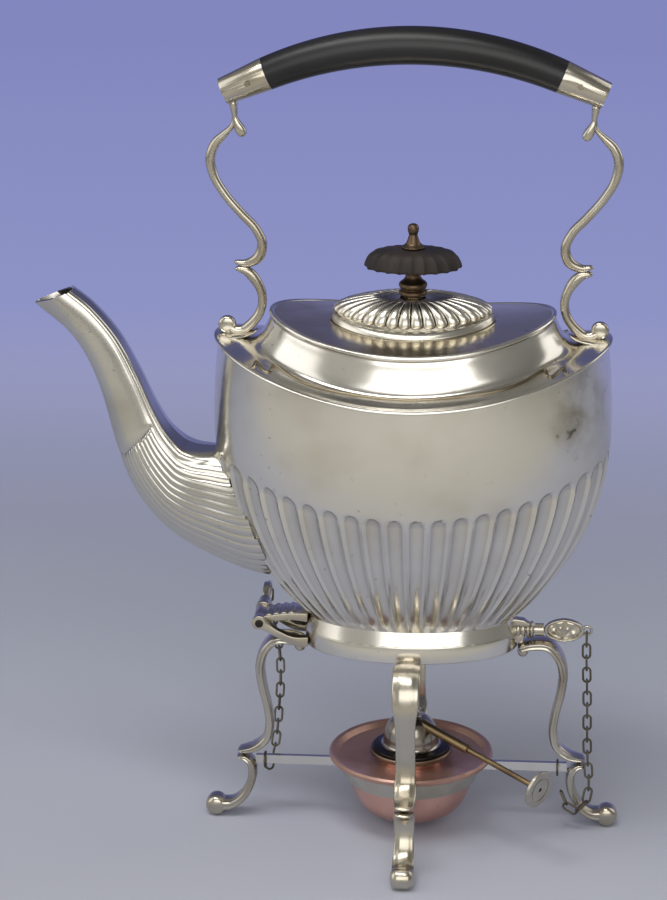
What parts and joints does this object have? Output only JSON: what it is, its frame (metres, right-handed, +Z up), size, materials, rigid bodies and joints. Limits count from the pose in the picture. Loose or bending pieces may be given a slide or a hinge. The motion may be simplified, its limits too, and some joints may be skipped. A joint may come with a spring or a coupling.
{
  "type": "spirit kettle on stand",
  "caption": "Oval half-fluted silver-plated spirit kettle with a hinged lid and a fixed swept handle, tilting on a four-legged stand above a copper spirit lamp.",
  "frame": {"origin": "on the table, below the middle of the stand and of the spirit lamp", "axes": "+Z up, -X towards the spout, +Y to the back, where the lid is hinged"},
  "size_m": [0.264, 0.158, 0.3709],
  "materials": {
    "silver": "polished silver plate with light tarnish",
    "warm_silver": "worn silver plate, warmer where the base metal shows",
    "holder_silver": "dull silver plate",
    "steel": "dull rivet ends",
    "ebony": "black ebonised wood, satin",
    "knob_wood": "dark brown ebonised wood, worn",
    "brass": "tarnished brass",
    "copper": "polished copper",
    "nickel": "worn nickel plate",
    "dark_metal": "heat-darkened metal",
    "wick_cotton": "woven cotton, charred end",
    "chain_metal": "dark tarnished chain"
  },
  "bodies": {
    "stand": {"stand_ring": "silver", "leg_right": "warm_silver", "leg_back": "warm_silver", "leg_left": "warm_silver", "leg_front": "warm_silver", "strut_right": "silver", "strut_back": "silver", "strut_left": "silver", "strut_front": "silver", "lamp_holder": "holder_silver", "stand_hinge_arms": "warm_silver", "stand_lock_eye": "warm_silver", "chain_left": "chain_metal", "chain_right": "chain_metal", "chain_ring_left": "chain_metal", "chain_ring_right": "chain_metal"},
    "kettle": {"kettle_body": "silver", "spout": "silver", "shoulder_mount": "silver", "top_plate": "silver", "kettle_foot": "silver", "lid_hinge_leaf": "silver", "lid_hinge_pin": "silver", "handle_shoe_right": "warm_silver", "handle_shoe_left": "warm_silver", "handle_upright_right": "warm_silver", "handle_upright_left": "warm_silver", "ferrule_right": "warm_silver", "ferrule_left": "warm_silver", "grip": "ebony", "grip_pin_right": "steel", "grip_pin_left": "steel", "kettle_hinge_lug": "warm_silver", "kettle_lock_fork": "warm_silver"},
    "lid": {"lid_cover": "silver", "lid_dome": "silver", "lid_hinge_knuckle": "silver", "knob_stem": "brass", "knob": "knob_wood", "knob_finial": "brass", "knob_screw": "brass", "knob_nut": "brass"},
    "hinge_pin_body": {"hinge_pin": "warm_silver", "hinge_pin_shell": "warm_silver"},
    "lock_pin_body": {"lock_pin": "warm_silver", "lock_pin_shell": "warm_silver"},
    "lamp": {"lamp_top": "copper", "lamp_bowl": "copper", "burner_collar": "copper", "burner_ring": "dark_metal", "wick_tube": "dark_metal", "burner_hood": "nickel", "spindle_sleeve": "brass"},
    "wick_body": {"wick": "wick_cotton"},
    "wick_wheel": {"wick_spindle": "brass", "thumb_disc": "nickel"}
  },
  "joints": [
    {"name": "kettle_tilt", "type": "hinge", "parent": "stand", "child": "kettle", "pos_m": [-0.0686, 0, 0.0995], "axis": [0, -1, 0], "range_deg": [0, 60]},
    {"name": "lid_hinge", "type": "hinge", "parent": "kettle", "child": "lid", "pos_m": [0, 0.0276, 0.2389], "axis": [-1, 0, 0], "range_deg": [0, 100]},
    {"name": "hinge_pin_slide", "type": "slide", "parent": "stand", "child": "hinge_pin_body", "axis": [0, 1, 0], "range_m": [0, 0.024], "deforming": ["chain_left"]},
    {"name": "lock_pin_slide", "type": "slide", "parent": "stand", "child": "lock_pin_body", "axis": [1, 0, 0], "range_m": [0, 0.012], "deforming": ["chain_right"]},
    {"name": "lamp_lift", "type": "slide", "parent": "stand", "child": "lamp", "axis": [0, 0, 1], "range_m": [0, 0.025]},
    {"name": "wick_rise", "type": "slide", "parent": "lamp", "child": "wick_body", "axis": [0, 0, 1], "range_m": [0, 0.003]},
    {"name": "wick_turn", "type": "hinge", "parent": "lamp", "child": "wick_wheel", "pos_m": [0, 0, 0.0506], "axis": [0.7763, -0.6065, -0.1719], "range_deg": [0, 180]}
  ],
  "couplings": [
    {"joint": "wick_rise", "follows": "wick_turn", "m_per_rad": 0.00095493}
  ]
}
